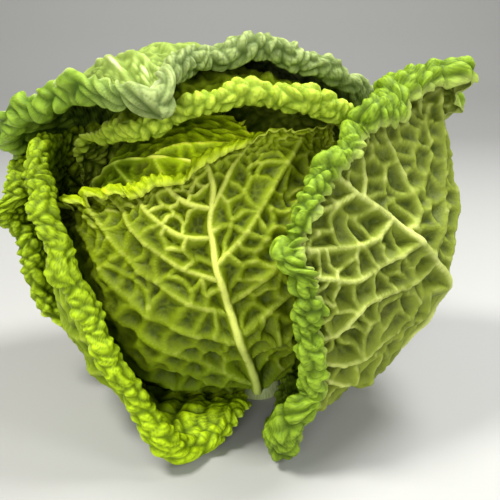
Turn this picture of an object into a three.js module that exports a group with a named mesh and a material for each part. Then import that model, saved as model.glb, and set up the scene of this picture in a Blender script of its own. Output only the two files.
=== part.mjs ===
// Savoy cabbage head with its loose outer leaves, resting on the cut stalk.
// Millimetres, +Z up, origin at the centre of the stalk's cut face.
// Every leaf is a curved shell with a rolled rim along its free edge.
import * as THREE from 'three';

const STALK_FOOT_RADIUS = 13;
const STALK_TOP_RADIUS = 11.5;
const STALK_HEIGHT = 13.5;
const HEAD_CENTRE = [-25, 0, 88];
const HEART_RADIUS = 61;
const LEAF_THICKNESS = 2.4;
const LEAF_RINGS = 6;
const RIM_STEPS = 6;

// Places on a leaf laid out as a unit disc: twelve round the edge starting
// at the stem end and going anticlockwise, then three along the midrib.
const EDGE_PLACES = 12;
const MIDRIB_PLACES = [[0, -0.5], [0, 0], [0, 0.5]];

// Each row is [azimuth, elevation, distance] about the head centre, in
// degrees and millimetres. Azimuth 0 faces the front and 90 faces right.
// Edge rows have a fourth number, the radius of the rolled rim there.
const leaves = {
  right_head_leaf: {
    color: 0xa9b84c,
    edge: [
      [100, -68, 66.5, 0.5],
      [150, -58, 66.5, 0.5],
      [176, -38, 67, 0.5],
      [186, 0, 68.5, 0.5],
      [196, 40, 69.5, 0.5],
      [230, 72, 69, 0.5],
      [-35, 78, 69, 0.5],
      [0, 58, 69.5, 0.5],
      [40, 34, 69.5, 0.5],
      [48, -2, 69.5, 0.5],
      [54, -38, 68, 0.5],
      [72, -60, 66.5, 0.5],
    ],
    midrib: [[118, -38, 68], [112, 5, 69.5], [98, 48, 69.5]],
  },
  left_head_leaf: {
    color: 0xb3c055,
    edge: [
      [110, -78, 71, 0.5],
      [-50, -68, 70.5, 0.5],
      [-52, -36, 72.8, 0.5],
      [-44, -2, 74, 0.5],
      [-26, 20, 74.3, 0.5],
      [2, 30, 75, 0.5],
      [20, 44, 75, 0.5],
      [45, 62, 75, 0.5],
      [-200, 80, 76, 0.5],
      [-187, 42, 75, 0.5],
      [-184, -8, 74, 0.5],
      [-175, -55, 72, 0.5],
    ],
    midrib: [[-125, -40, 73.5], [-108, 6, 75], [-70, 44, 75]],
  },
  front_head_leaf: {
    color: 0xa4b93a,
    edge: [
      [66, -69, 76, 0.5],
      [88, -58, 75.5, 0.5],
      [100, -34, 79, 0.5],
      [101, 2, 83, 0.5],
      [90, 34, 90, 2.5],
      [58, 53, 86, 2.5],
      [-3, 51, 81, 3],
      [-24, 42, 80.5, 3],
      [-62, 31, 80, 3],
      [-92, 8, 80, 2.5],
      [-92, -32, 79, 0.5],
      [-46, -66, 77, 0.5],
    ],
    midrib: [[26, -42, 81], [9, -3, 81], [1, 27, 81]],
  },
  front_hood_leaf: {
    color: 0x9dbb3c,
    edge: [
      [125, -70, 76.5, 0.6],
      [212, -52, 78.5, 0.6],
      [236, -10, 83, 0.6],
      [252, 24, 88, 2],
      [284, 46, 91, 4],
      [321, 51, 93, 5],
      [-8, 56, 101, 5.5],
      [33, 58, 105, 6.5],
      [58, 47, 105, 5],
      [80, 27, 104, 3],
      [102, -8, 96, 2],
      [125, -50, 84, 0.6],
    ],
    midrib: [[165, -42, 80], [188, 8, 86], [206, 63, 96]],
  },
  left_side_leaf: {
    color: 0x7d9c33,
    edge: [
      [38, -76, 80.5, 0.6],
      [10, -50, 90, 3],
      [-8, -45, 104, 7],
      [-28, -20, 93, 7],
      [-42, 6, 91, 7],
      [-56, 26, 101, 7],
      [-74, 40, 111, 6],
      [-95, 38, 107, 2],
      [-108, 24, 101, 0.6],
      [-116, 0, 94, 0.6],
      [-122, -30, 89, 0.6],
      [-128, -61, 80.5, 0.6],
    ],
    midrib: [[-70, -54, 87.5], [-86, -8, 88.5], [-84, 20, 96]],
  },
  left_back_leaf: {
    color: 0x5e7d3c,
    edge: [
      [150, -79, 81, 0.6],
      [-90, -60, 91.5, 2],
      [-86, -34, 97, 5],
      [-90, -4, 100, 7],
      [-92, 14, 110, 7],
      [-94, 28, 120, 6],
      [-110, 33, 118, 3],
      [-135, 33, 112, 2],
      [-157, 24, 107, 0.6],
      [-169, 0, 101, 0.6],
      [-178, -35, 92, 0.6],
      [-174, -62, 83, 0.6],
    ],
    midrib: [[-134, -46, 94.5], [-133, -5, 103], [-122, 18, 109]],
  },
  rear_hood_leaf: {
    color: 0x6f8f5a,
    edge: [
      [128, -68, 84.5, 0.6],
      [-158, -54, 97, 2],
      [-142, -22, 109, 3],
      [-130, 12, 121, 4],
      [-92, 37, 133, 5],
      [-58, 50, 121, 6],
      [-15, 48, 118, 5],
      [-16, 63, 112, 7],
      [34, 74, 108.5, 7],
      [80, 62, 111, 6],
      [115, 25, 115, 3],
      [148, -35, 98, 2],
    ],
    midrib: [[-175, -42, 98], [-165, 5, 114], [-126, 50, 121]],
  },
  right_side_leaf: {
    color: 0x8a9f58,
    edge: [
      [90, -60, 85, 0.6],
      [136, -50, 100, 2],
      [134, -12, 119, 3],
      [112, 22, 138, 4],
      [93, 37, 152, 7],
      [76, 45, 132, 7],
      [46, 36, 106, 6],
      [25, 21, 100, 6],
      [26, 8, 101, 7],
      [28, -8, 102, 7],
      [31, -24, 104, 7],
      [27, -41, 105, 7],
    ],
    midrib: [[80, -44, 106], [78, -8, 127], [60, 16, 119]],
  },
};

const radians = THREE.MathUtils.degToRad;

function edgePlace(step) {
  const angle = radians(-90 + (360 / EDGE_PLACES) * step);
  return [Math.cos(angle), Math.sin(angle)];
}

const places = [];
for (let step = 0; step < EDGE_PLACES; step += 1) {
  places.push(edgePlace(step));
}
places.push(...MIDRIB_PLACES);

// Thin-plate spline: a smooth sheet through the values given at the places.
function bending(x, y) {
  const squared = x * x + y * y;
  return squared < 1e-12 ? 0 : 0.5 * squared * Math.log(squared);
}

function solveLinear(matrix) {
  const size = matrix.length;
  for (let column = 0; column < size; column += 1) {
    let best = column;
    for (let row = column + 1; row < size; row += 1) {
      if (Math.abs(matrix[row][column]) > Math.abs(matrix[best][column])) best = row;
    }
    [matrix[column], matrix[best]] = [matrix[best], matrix[column]];
    const pivot = matrix[column][column];
    matrix[column] = matrix[column].map((value) => value / pivot);
    for (let row = 0; row < size; row += 1) {
      if (row === column) continue;
      const factor = matrix[row][column];
      matrix[row] = matrix[row].map((value, k) => value - factor * matrix[column][k]);
    }
  }
  return matrix.map((row) => row.slice(size));
}

// Coefficients of the sheet for several value columns at once.
function fitSheet(values) {
  const count = places.length;
  const rows = [];
  for (let i = 0; i < count; i += 1) {
    const row = places.map(([x, y]) => bending(places[i][0] - x, places[i][1] - y));
    rows.push([...row, 1, places[i][0], places[i][1], ...values[i]]);
  }
  const none = values[0].map(() => 0);
  rows.push([...places.map(() => 1), 0, 0, 0, ...none]);
  rows.push([...places.map(([x]) => x), 0, 0, 0, ...none]);
  rows.push([...places.map(([, y]) => y), 0, 0, 0, ...none]);
  return solveLinear(rows);
}

function direction(azimuth, elevation) {
  const level = Math.cos(radians(elevation));
  const x = Math.sin(radians(azimuth)) * level;
  const y = -Math.cos(radians(azimuth)) * level;
  return [x, y, Math.sin(radians(elevation))];
}

// A function from a place on the unit disc to a point on the curved leaf.
function leafSurface(leaf) {
  const values = [...leaf.edge, ...leaf.midrib].map(([azimuth, elevation, distance]) => [
    ...direction(azimuth, elevation),
    distance,
  ]);
  const sheet = fitSheet(values);
  const centre = new THREE.Vector3(...HEAD_CENTRE);
  return (x, y) => {
    const weights = places.map(([px, py]) => bending(x - px, y - py));
    weights.push(1, x, y);
    const sum = [0, 0, 0, 0];
    weights.forEach((weight, i) => {
      sheet[i].forEach((value, k) => {
        sum[k] += weight * value;
      });
    });
    const way = new THREE.Vector3(sum[0], sum[1], sum[2]).normalize();
    return way.multiplyScalar(sum[3]).add(centre);
  };
}

function rimRadius(leaf, angle) {
  const turn = (THREE.MathUtils.radToDeg(angle) + 90 + 720) / (360 / EDGE_PLACES);
  const step = Math.floor(turn);
  const part = THREE.MathUtils.smoothstep(turn - step, 0, 1);
  const from = leaf.edge[step % EDGE_PLACES][3];
  const to = leaf.edge[(step + 1) % EDGE_PLACES][3];
  return from * (1 - part) + to * part;
}

// Square grid cell to disc: square rings become evenly spaced circles.
function discPlace(column, row) {
  const u = column / LEAF_RINGS - 1;
  const v = row / LEAF_RINGS - 1;
  const radius = Math.max(Math.abs(u), Math.abs(v));
  if (radius < 1e-9) return [0, 0];
  const wide = Math.abs(u) >= Math.abs(v);
  const quarter = Math.PI / 4;
  const angle = wide ? (v / u) * quarter : Math.PI / 2 - (u / v) * quarter;
  const sign = (wide ? u : v) < 0 ? -1 : 1;
  return [sign * radius * Math.cos(angle), sign * radius * Math.sin(angle)];
}

function surfaceNormal(surface, x, y) {
  const d = 0.01;
  const across = surface(x + d, y).sub(surface(x - d, y));
  const along = surface(x, y + d).sub(surface(x, y - d));
  return across.cross(along).normalize();
}

function buildLeaf(leaf) {
  const surface = leafSurface(leaf);
  const side = 2 * LEAF_RINGS + 1;
  const half = LEAF_THICKNESS / 2;
  const points = [];
  const faces = [];
  const inner = [];
  const outer = [];
  const border = [];
  for (let i = 0; i < side - 1; i += 1) border.push([side - 1, i]);
  for (let i = 0; i < side - 1; i += 1) border.push([side - 1 - i, side - 1]);
  for (let i = 0; i < side - 1; i += 1) border.push([0, side - 1 - i]);
  for (let i = 0; i < side - 1; i += 1) border.push([i, 0]);

  const addPoint = (point) => {
    points.push(point.x, point.y, point.z);
    return points.length / 3 - 1;
  };
  const addQuad = (a, b, c, d) => faces.push(a, b, c, a, c, d);

  // Frame at a border place: point, outward in the leaf, out of the leaf.
  const frameAt = ([column, row]) => {
    const [x, y] = discPlace(column, row);
    const angle = Math.atan2(y, x);
    const point = surface(Math.cos(angle), Math.sin(angle));
    const d = 0.02;
    const before = surface(Math.cos(angle - d), Math.sin(angle - d));
    const after = surface(Math.cos(angle + d), Math.sin(angle + d));
    const round = after.sub(before).normalize();
    const inside = surface(0.97 * Math.cos(angle), 0.97 * Math.sin(angle));
    const away = point.clone().sub(inside);
    const normal = away.cross(round).normalize();
    const outward = round.cross(normal).normalize();
    return { point, outward, normal, rim: rimRadius(leaf, angle) };
  };
  const borderIndex = new Map(border.map(([c, r], i) => [c * side + r, i]));
  const frames = border.map(frameAt);

  for (let column = 0; column < side; column += 1) {
    for (let row = 0; row < side; row += 1) {
      const [x, y] = discPlace(column, row);
      const edge = borderIndex.get(column * side + row);
      if (edge === undefined) {
        const point = surface(x, y);
        const normal = surfaceNormal(surface, x, y).multiplyScalar(half);
        inner.push(addPoint(point.clone().sub(normal)));
        outer.push(addPoint(point.clone().add(normal)));
      } else {
        const { point, outward, normal, rim } = frames[edge];
        const back = outward.clone().multiplyScalar(-1.15 * (rim + half));
        inner.push(addPoint(point.clone().addScaledVector(normal, -half)));
        outer.push(addPoint(point.clone().addScaledVector(normal, half).add(back)));
      }
    }
  }
  for (let column = 0; column < side - 1; column += 1) {
    for (let row = 0; row < side - 1; row += 1) {
      const a = column * side + row;
      const b = a + side;
      addQuad(outer[a], outer[b], outer[b + 1], outer[a + 1]);
      addQuad(inner[a], inner[a + 1], inner[b + 1], inner[b]);
    }
  }

  // The rolled rim, ring by ring from the inner face round to the outer.
  let previous = border.map(([c, r]) => inner[c * side + r]);
  for (let step = 1; step <= RIM_STEPS; step += 1) {
    const turn = radians(-90 + (270 / RIM_STEPS) * step);
    const ring = frames.map(({ point, outward, normal, rim }) => {
      const reach = rim + half;
      const place = point.clone().addScaledVector(normal, rim + reach * Math.sin(turn));
      return addPoint(place.addScaledVector(outward, reach * Math.cos(turn)));
    });
    joinRings(previous, ring, addQuad);
    previous = ring;
  }
  joinRings(previous, border.map(([c, r]) => outer[c * side + r]), addQuad);

  const geometry = new THREE.BufferGeometry();
  geometry.setAttribute('position', new THREE.Float32BufferAttribute(points, 3));
  geometry.setIndex(faces);
  geometry.computeVertexNormals();
  return geometry;
}

function joinRings(first, second, addQuad) {
  first.forEach((start, i) => {
    const next = (i + 1) % first.length;
    addQuad(start, first[next], second[next], second[i]);
  });
}

function matte(color, roughness) {
  return new THREE.MeshStandardMaterial({ color, roughness, metalness: 0 });
}

const group = new THREE.Group();
group.name = 'savoy_cabbage';

function addPiece(name, geometry, material) {
  const mesh = new THREE.Mesh(geometry, material);
  mesh.name = name;
  group.add(mesh);
  return mesh;
}

const stalkProfile = [
  new THREE.Vector2(0, 0),
  new THREE.Vector2(STALK_FOOT_RADIUS - 0.8, 0),
  new THREE.Vector2(STALK_FOOT_RADIUS, 0.8),
  new THREE.Vector2(STALK_TOP_RADIUS, STALK_HEIGHT - 1),
  new THREE.Vector2(STALK_TOP_RADIUS - 1, STALK_HEIGHT),
  new THREE.Vector2(0, STALK_HEIGHT),
];
const stalk = new THREE.LatheGeometry(stalkProfile, 32);
stalk.rotateX(Math.PI / 2);
addPiece('stalk', stalk, matte(0xc9cf9a, 0.7));

// The tight inner ball of the head, under the three head leaves.
const heartProfile = [];
const heartSteps = 14;
for (let step = 0; step <= heartSteps; step += 1) {
  const angle = radians(-90 + (180 / heartSteps) * step);
  const across = step === 0 || step === heartSteps ? 0 : HEART_RADIUS * Math.cos(angle);
  heartProfile.push(new THREE.Vector2(across, HEART_RADIUS * Math.sin(angle)));
}
const heart = new THREE.LatheGeometry(heartProfile, 28);
heart.rotateX(Math.PI / 2);
heart.translate(...HEAD_CENTRE);
addPiece('heart', heart, matte(0xc3cc74, 0.6));

for (const [name, leaf] of Object.entries(leaves)) {
  addPiece(name, buildLeaf(leaf), matte(leaf.color, 0.6));
}

export default group;
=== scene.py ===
import math

import bpy
import numpy as np
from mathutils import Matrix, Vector
from mathutils.kdtree import KDTree


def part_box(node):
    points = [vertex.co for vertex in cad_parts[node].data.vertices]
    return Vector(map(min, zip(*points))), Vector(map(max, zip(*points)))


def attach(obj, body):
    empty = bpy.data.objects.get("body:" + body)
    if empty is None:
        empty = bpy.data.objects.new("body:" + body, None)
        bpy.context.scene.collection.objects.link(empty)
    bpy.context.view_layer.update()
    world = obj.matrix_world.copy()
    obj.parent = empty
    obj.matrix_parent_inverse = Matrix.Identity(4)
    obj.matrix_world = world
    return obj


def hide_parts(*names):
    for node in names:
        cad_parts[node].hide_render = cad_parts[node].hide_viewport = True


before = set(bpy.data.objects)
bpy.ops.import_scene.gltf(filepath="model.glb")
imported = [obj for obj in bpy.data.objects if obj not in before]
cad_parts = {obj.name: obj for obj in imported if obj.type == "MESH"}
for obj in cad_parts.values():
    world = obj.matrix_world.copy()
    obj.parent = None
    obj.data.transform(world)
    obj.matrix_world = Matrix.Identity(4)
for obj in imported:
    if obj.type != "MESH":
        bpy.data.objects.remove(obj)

bl_info = {
    "name": "Savoy cabbage head",
    "version": (1, 0, 0),
    "blender": (4, 5, 0),
    "location": "3D View > Sidebar > Cabbage",
    "description": "Builds a savoy cabbage head leaf by leaf around its CAD frame",
    "category": "Object",
}

MM = 1000  # in a metre
PLACES = 12  # named places round a leaf's margin

# ---------------------------------------------------------------- the leaves
# Places in space are (azimuth degrees, elevation degrees, distance in mm) about the middle of the head.
# Azimuth 0 faces the front and 90 the right side. Places on the flat leaf have the stem at (0, -1) and the
# tip at (0, 1). Lists of twelve go round the margin, from the stem end by way of the right side to the tip
# and back down the left side.
#   edge, midrib: twelve places round the margin, and three up the middle
#   roll, turn: radius in mm, and degrees, of the margin's outward roll at those twelve places
#   sway, ruffle: how far the margin wanders in long waves, and in short ones at the twelve places
#   inset: share by which the margin is drawn in at the twelve places
#   hang: x in mm where the leaf begins to hang down and where it hangs fully, and by how many mm
#   rib_line, left, right: midrib and side veins on the flat leaf; fan: how many side veins if none are given
#   rib, stout: height and width of all veins, and extra width of the midrib, as shares
#   line: strength of the painted lines between pits
#   cell, margin_cells: width in mm of the pits in the middle and at the margin, and at the twelve places
#   depth: depth of a pit as a share of its width; pucker: mm that the whole leaf swells in and out
#   sag, lift: mm that the leaf sinks between its veins, and that it stands out from its middle sheet
#   rings, rim: rings of points in the leaf's net, and the share of them that the roll takes
#   fine_side: place on the flat leaf where the net is centred, so that it is finer beyond it
#   plain_inside: whether the inner face is out of sight, and so gets a coarser net
#   glow: how much light passes through
#   light_and_tones: axis, from where to where in m, colour to multiply by, and whether only on the inner face; on
#       most leaves this is painted light or painted shade
#   seed: starts the leaf's random draws

PLAIN_RIB = [(0, -1), (0.02, -0.5), (-0.02, 0), (0.01, 0.5), (0, 1)]

USUAL = dict(
    roll=[3] * PLACES, turn=[0] * PLACES, sway=1.0, ruffle=[0] * PLACES, inset=[0] * PLACES,
    rib_line=PLAIN_RIB, fan=8, rib=0.9, stout=1, line=0.58,
    cell=(11, 5.8), depth=0.5, pucker=0.9, sag=1.5, lift=0.9,
    rings=108, rim=0.29, fine_side=(0, 0), plain_inside=False, light_and_tones=(),
)

LEAVES = {
    "right_head_leaf": dict(
        edge=[[100, -68, 66.5], [150, -58, 66.5], [176, -38, 67], [186, 0, 68.5], [196, 40, 69.5], [230, 72, 69],
              [-35, 78, 69], [0, 58, 69.5], [40, 34, 69.5], [48, -2, 69.5], [54, -38, 68], [72, -60, 66.5]],
        midrib=[[118, -38, 68], [112, 5, 69.5], [98, 48, 69.5]],
        fan=7, rib=0.7, cell=(11, 9), depth=0.22, pucker=0.25, sway=0.0, lift=-0.6, sag=0.8,
        rings=84, rim=0.11, plain_inside=True, glow=0.4, seed=11,
    ),
    "left_head_leaf": dict(
        edge=[[110, -78, 71], [-50, -68, 70.5], [-52, -36, 72.8], [-44, -2, 74], [-26, 20, 74.3], [2, 30, 75],
              [20, 44, 75], [45, 62, 75], [-200, 80, 76], [-187, 42, 75], [-184, -8, 74], [-175, -55, 72]],
        midrib=[[-125, -40, 73.5], [-108, 6, 75], [-70, 44, 75]],
        right=[[(0.02, -0.62), (0.3, -0.6), (0.6, -0.6), (0.9, -0.5)],
               [(0.02, -0.42), (0.3, -0.35), (0.6, -0.3), (0.97, -0.25)],
               [(0.0, -0.2), (0.35, -0.05), (0.65, -0.02), (0.99, -0.08)],
               [(-0.02, 0.05), (0.35, 0.2), (0.65, 0.2), (0.98, 0.1)],
               [(0, 0.3), (0.35, 0.44), (0.65, 0.4), (0.95, 0.26)],
               [(0, 0.52), (0.3, 0.63), (0.6, 0.57), (0.9, 0.42)],
               [(0, 0.7), (0.3, 0.77), (0.6, 0.7), (0.82, 0.57)], [(0, 0.86), (0.3, 0.9), (0.62, 0.78)]],
        fan=7, rib=1.1, cell=(11, 8), depth=0.28, pucker=0.5, sway=0.0, lift=-0.8, sag=1.2,
        rings=104, rim=0.11, plain_inside=True, glow=0.4, seed=12,
        # painted light: the top made about three times lighter; painted shade: darker towards the left, into the
        # cleft
        light_and_tones=[("Z", 0.09, 0.13, (3.2, 3.2, 2.0), False), ("X", -0.04, -0.065, (0.28, 0.32, 0.3), False)],
    ),
    "front_head_leaf": dict(
        edge=[[66, -69, 76], [88, -58, 75.5], [100, -34, 79], [101, 2, 83], [90, 34, 90], [58, 53, 86],
              [-3, 51, 81], [-24, 42, 80.5], [-62, 31, 80], [-92, 8, 80], [-92, -32, 79], [-46, -66, 77]],
        midrib=[[26, -42, 81], [9, -3, 81], [1, 27, 81]],
        roll=[3, 3, 3, 3, 3, 3.4, 3.8, 4.0, 4.2, 3.6, 3, 3],
        turn=[0, 0, 0, 0, 60, 180, 240, 235, 240, 150, 0, 0],
        rib_line=[(-0.03, -1), (-0.05, -0.6), (-0.02, -0.2), (-0.02, 0.1), (0, 0.4),
                  (0.04, 0.6), (0.06, 0.76), (0.02, 0.9), (0, 1)],
        left=[[(-0.04, -0.62), (-0.3, -0.5), (-0.6, -0.3), (-0.95, -0.1)],
              [(-0.05, -0.42), (-0.25, -0.27), (-0.5, -0.1), (-0.9, 0.16)],
              [(-0.03, -0.13), (-0.3, -0.1), (-0.5, 0.02), (-0.88, 0.3)],
              [(-0.02, -0.02), (-0.2, 0.03), (-0.4, 0.12), (-0.6, 0.27), (-0.86, 0.46)],
              [(-0.02, 0.17), (-0.2, 0.2), (-0.42, 0.32), (-0.6, 0.48), (-0.8, 0.62)],
              [(0, 0.4), (-0.2, 0.4), (-0.4, 0.5), (-0.7, 0.75)],
              [(0.02, 0.58), (-0.15, 0.65), (-0.35, 0.78), (-0.5, 0.95)]],
        right=[[(-0.05, -0.5), (0.2, -0.45), (0.6, -0.25), (0.95, -0.05)],
               [(-0.04, -0.3), (0.2, -0.18), (0.5, 0), (0.9, 0.2)],
               [(-0.02, -0.1), (0.15, -0.05), (0.4, 0.1), (0.6, 0.25), (0.9, 0.42)],
               [(-0.02, 0.03), (0.2, 0.12), (0.4, 0.3), (0.6, 0.5), (0.8, 0.64)],
               [(0, 0.25), (0.2, 0.38), (0.33, 0.55), (0.5, 0.8)],
               [(0.03, 0.55), (0.12, 0.7), (0.2, 0.85), (0.3, 1)]],
        inset=[0, 0, 0, 0, 0.02, 0.06, 0.13, 0.15, 0.13, 0.08, 0.02, 0],
        rib=0.7, stout=1.3, cell=(10.5, 4.6), pucker=1.5, sway=0.6, ruffle=[3] * PLACES, lift=1.3, sag=1.6,
        rings=138, rim=0.17, fine_side=(0, 0.15), plain_inside=True, glow=0.16, seed=13,
        # painted shade: the leaf darker and cooler towards its bottom
        light_and_tones=[("Z", 0.1, 0.03, (0.72, 0.8, 0.9), False)],
    ),
    "front_hood_leaf": dict(
        edge=[[125, -70, 76.5], [212, -52, 78.5], [236, -10, 83], [252, 24, 88], [284, 46, 91], [321, 51, 93],
              [-8, 56, 101], [33, 58, 105], [58, 47, 105], [80, 27, 104], [102, -8, 96], [125, -50, 84]],
        midrib=[[165, -42, 80], [188, 8, 86], [206, 63, 96]],
        roll=[3, 3, 3, 3, 2.6, 3.0, 3.8, 4.8, 4.8, 4, 3, 3],
        turn=[0, 0, 0, 0, 150, 240, 265, 270, 255, 160, 30, 0],
        glow=0.35, seed=14,
    ),
    "left_side_leaf": dict(
        edge=[[38, -76, 80.5], [10, -50, 90], [-8, -45, 104], [-28, -20, 93], [-42, 6, 91], [-56, 26, 101],
              [-74, 40, 111], [-95, 38, 107], [-108, 24, 101], [-116, 0, 94], [-122, -30, 89], [-128, -61, 80.5]],
        midrib=[[-70, -54, 87.5], [-86, -8, 88.5], [-84, 20, 96]],
        roll=[3, 4, 5.0, 4.6, 4.4, 4.6, 4.4, 3.5, 3, 3, 3, 3],
        turn=[0, 100, 250, 270, 270, 270, 240, 60, 0, 0, 0, 0],
        # painted light: the leaf lighter and yellower towards its bottom, as where light shines through it
        hang=(-30, -150, 26), glow=0.3, light_and_tones=[("Z", 0.1, 0.03, (1.3, 1.3, 0.8), False)], seed=15,
    ),
    "left_back_leaf": dict(
        edge=[[150, -79, 81], [-90, -60, 91.5], [-86, -34, 97], [-90, -4, 100], [-92, 14, 110], [-94, 28, 120],
              [-110, 33, 118], [-135, 33, 112], [-157, 24, 107], [-169, 0, 101], [-178, -35, 92], [-174, -62, 83]],
        midrib=[[-134, -46, 94.5], [-133, -5, 103], [-122, 18, 109]],
        roll=[3, 3, 3, 4.4, 5.2, 5.4, 4.5, 3.5, 3, 3, 3, 3],
        turn=[0, 0, 60, 230, 265, 250, 160, 60, 0, 0, 0, 0],
        inset=[0, 0.06, 0.1, 0.04, 0, 0, 0, 0, 0, 0, 0, 0],
        hang=(-30, -150, 28), cell=(12, 6.2), glow=0.25, seed=16,
    ),
    "rear_hood_leaf": dict(
        edge=[[128, -68, 84.5], [-158, -54, 97], [-142, -22, 109], [-130, 12, 121], [-92, 37, 133], [-58, 50, 121],
              [-15, 48, 118], [-16, 63, 112], [34, 74, 108.5], [80, 62, 111], [115, 25, 115], [148, -35, 98]],
        midrib=[[-175, -42, 98], [-165, 5, 114], [-126, 50, 121]],
        roll=[3, 3.5, 4, 5, 5.2, 5.4, 4.8, 4.8, 5, 4.6, 4, 3],
        turn=[0, 40, 100, 170, 225, 225, 240, 265, 265, 230, 120, 0],
        margin_cells=[6.4, 6.4, 8, 10, 11, 9.5, 7, 6.2, 6.2, 6.4, 6.4, 6.4],
        hang=(-30, -150, 26), rib=1.0, cell=(13, 6.4), depth=0.46, glow=0.25, seed=17,
        light_and_tones=[("X", -0.05, -0.08, (0.8, 1.0, 0.25), True)],
    ),
    "right_side_leaf": dict(
        edge=[[90, -60, 85], [136, -50, 100], [134, -12, 119], [112, 22, 138], [93, 37, 152], [76, 45, 132],
              [46, 36, 106], [25, 21, 100], [26, 8, 101], [28, -8, 102], [31, -24, 104], [27, -41, 105]],
        midrib=[[80, -44, 106], [78, -8, 127], [60, 16, 119]],
        roll=[3, 3, 3, 4, 6.8, 6.6, 4.6, 4.2, 4.2, 4.3, 4.8, 7],
        turn=[0, 0, 40, 100, 230, 240, 250, 230, 270, 270, 270, 280],
        ruffle=[1, 1, 1, 3, 5, 4.5, 2, 2.5, 2.5, 1.5, 1, 1],
        rib_line=[(0, -1), (0.05, -0.6), (0.08, -0.2), (0.01, 0.1), (-0.08, 0.3),
                  (-0.05, 0.5), (-0.06, 0.7), (-0.1, 0.88), (-0.05, 1)],
        left=[[(0.05, -0.58), (-0.2, -0.56), (-0.5, -0.58), (-0.95, -0.6)],
              [(0.08, -0.3), (-0.25, -0.3), (-0.55, -0.36), (-0.75, -0.4), (-1, -0.42)],
              [(0.04, 0.02), (-0.15, 0.13), (-0.3, 0.1), (-0.5, -0.03), (-0.64, -0.14), (-0.78, -0.26),
               (-0.97, -0.28)],
              [(-0.06, 0.24), (-0.3, 0.26), (-0.6, 0.27), (-0.72, 0.18), (-0.85, 0.02), (-0.99, -0.08)],
              [(-0.07, 0.42), (-0.3, 0.44), (-0.45, 0.42), (-0.6, 0.41), (-0.7, 0.5), (-0.86, 0.52)],
              [(-0.06, 0.6), (-0.3, 0.57), (-0.5, 0.68), (-0.68, 0.76)],
              [(-0.09, 0.82), (-0.25, 0.85), (-0.4, 0.93)]],
        right=[[(0.06, -0.5), (0.3, -0.5), (0.6, -0.4), (0.92, -0.3)],
               [(0.08, -0.2), (0.3, -0.2), (0.6, -0.1), (0.98, 0.03)],
               [(0.02, 0.1), (0.15, 0.17), (0.3, 0.22), (0.6, 0.3), (0.92, 0.38)],
               [(-0.07, 0.3), (0.05, 0.35), (0.25, 0.4), (0.5, 0.5), (0.8, 0.6)],
               [(-0.05, 0.5), (0.08, 0.5), (0.16, 0.62), (0.25, 0.8), (0.4, 0.92)],
               [(-0.08, 0.78), (0.01, 0.82), (0.1, 0.9), (0.15, 1)]],
        rib=0.8, stout=1.5, line=0.68, cell=(13, 5.6), depth=0.68, pucker=1.3, sag=3.2, hang=(60, 112, 6),
        rings=110, fine_side=(-0.35, 0.3), glow=0.12, seed=18,
    ),
}

# a vein's width in mm at its foot, what it loses on its way, and the power of that taper; then its height
MIDRIB = (2.7, 2.0, 0.6), (4.0, 3.2, 0.75)
SIDE_VEIN = (0.8, 0.3, 1), (1.5, 1.0, 0.8)


# ------------------------------------------------------------------ leaf maths
def unit(v):
    """Vectors made one long."""
    return v / np.maximum(np.linalg.norm(v, axis=-1, keepdims=True), 1e-12)


def ease(low, high, x):
    """0 at low and below, 1 at high and above, and smooth between."""
    t = np.clip((x - low) / (high - low), 0, 1)
    return t * t * (3 - 2 * t)


def bend(d2):
    """The thin-plate bending kernel of a squared distance."""
    return 0.5 * d2 * np.log(np.maximum(d2, 1e-18))


class Sheet:
    """A leaf's smooth middle sheet: flat disc in, millimetres about the head's middle out."""

    def __init__(self, spec):
        angles = np.radians(-90 + 360 / PLACES * np.arange(PLACES))
        margin = np.stack([np.cos(angles), np.sin(angles)], 1)
        self.sites = np.concatenate([margin, [[0, -0.5], [0, 0], [0, 0.5]]])
        places = np.array(spec["edge"] + spec["midrib"], float)
        az, el, out = np.radians(places[:, 0]), np.radians(places[:, 1]), places[:, 2]
        heading = np.stack([np.sin(az) * np.cos(el), -np.cos(az) * np.cos(el), np.sin(el)], 1)
        n = len(self.sites)
        d2 = ((self.sites[:, None] - self.sites[None]) ** 2).sum(2)
        system = np.zeros((n + 3, n + 3))
        system[:n, :n] = bend(d2)
        system[:n, n] = system[n, :n] = 1
        system[:n, n + 1:] = self.sites
        system[n + 1:, :n] = self.sites.T
        wanted = np.concatenate([np.column_stack([heading, out]), np.zeros((3, 4))])
        self.weights = np.linalg.solve(system, wanted)

    def at(self, flat):
        d2 = ((flat[:, None] - self.sites[None]) ** 2).sum(2)
        v = bend(d2) @ self.weights[:-3] + self.weights[-3] + flat @ self.weights[-2:]
        return unit(v[:, :3]) * v[:, 3:]

    def normal(self, flat):
        e = 1e-3
        p = self.at(flat)
        return unit(np.cross(self.at(flat + [e, 0]) - p, self.at(flat + [0, e]) - p))


def around(values, angle):
    """Twelve values round the margin, eased from one to the next."""
    k = (np.degrees(angle) + 90) / (360 / PLACES) % PLACES
    low = np.floor(k).astype(int) % PLACES
    t = ease(0, 1, k - np.floor(k))
    v = np.array(values, float)
    return v[low] * (1 - t) + v[(low + 1) % PLACES] * t


def ripple(points, wave, seed, terms=9):
    """Soft uneven waves of about that wavelength, from -1 to 1."""
    rng = np.random.default_rng(seed)
    ways = unit(rng.normal(size=(terms, 3)))
    pace = rng.uniform(0.75, 1.35, terms) * 2 * math.pi / wave
    return np.sin(points @ (ways * pace[:, None]).T + rng.uniform(0, 6.283, terms)).sum(1) / math.sqrt(terms) * 0.8


def drift(points, wave, seed, reach):
    """The points, each pushed a little way off by soft waves, so that borders between them aren't straight."""
    return points + reach * np.stack([ripple(points, wave, seed + k) for k in (0, 1, 2)], 1)


def rounded(line):
    """A vein line with its corners taken off."""
    p = np.array(line, float)
    for _ in range(3):
        a, b = p[:-1] * 0.75 + p[1:] * 0.25, p[:-1] * 0.25 + p[1:] * 0.75
        p = np.concatenate([p[:1], np.stack([a, b], 1).reshape(-1, 2), p[-1:]])
    return p


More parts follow.
